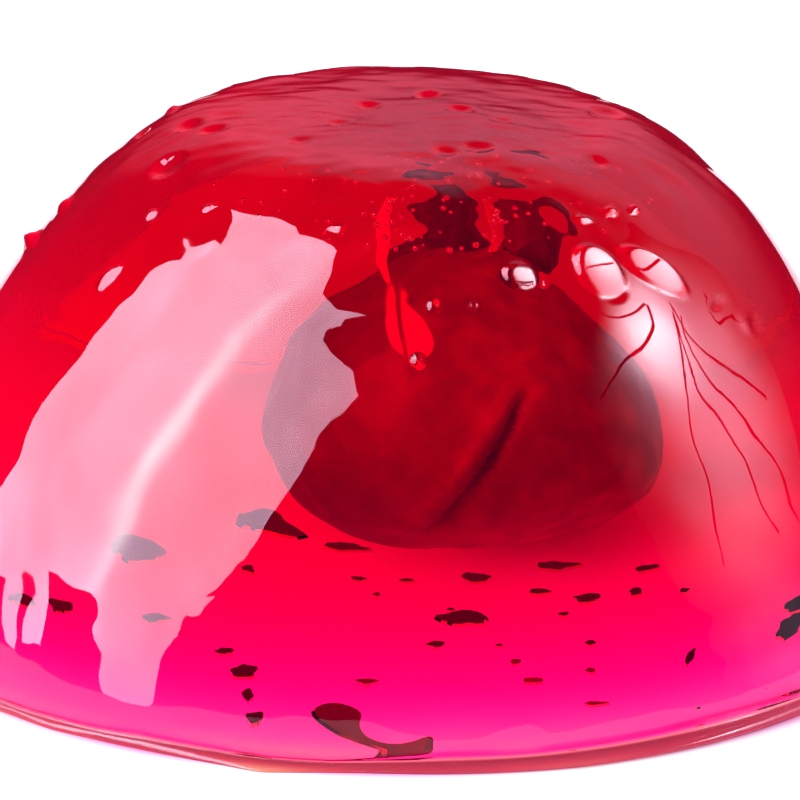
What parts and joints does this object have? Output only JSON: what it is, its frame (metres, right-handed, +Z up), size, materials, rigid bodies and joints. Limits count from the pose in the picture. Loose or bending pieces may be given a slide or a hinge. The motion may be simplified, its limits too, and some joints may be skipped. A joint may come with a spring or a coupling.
{
  "type": "moulded fruit jelly",
  "caption": "Clear dyed jelly turned out of a round mould: a dome with a soft flattish top and a thin rim at its foot, standing on its flat base, with a whole fruit set inside it.",
  "frame": {"origin": "middle of the flat base, on the surface the jelly stands on", "axes": "+Z up through the middle of the dome, -Y to the front, +X to the right seen from the front"},
  "size_m": [0.0849, 0.0848, 0.0426],
  "materials": {
    "jelly": "wet gloss, clear dyed jelly"
  },
  "bodies": {
    "root": {"jelly": "jelly"}
  },
  "joints": []
}
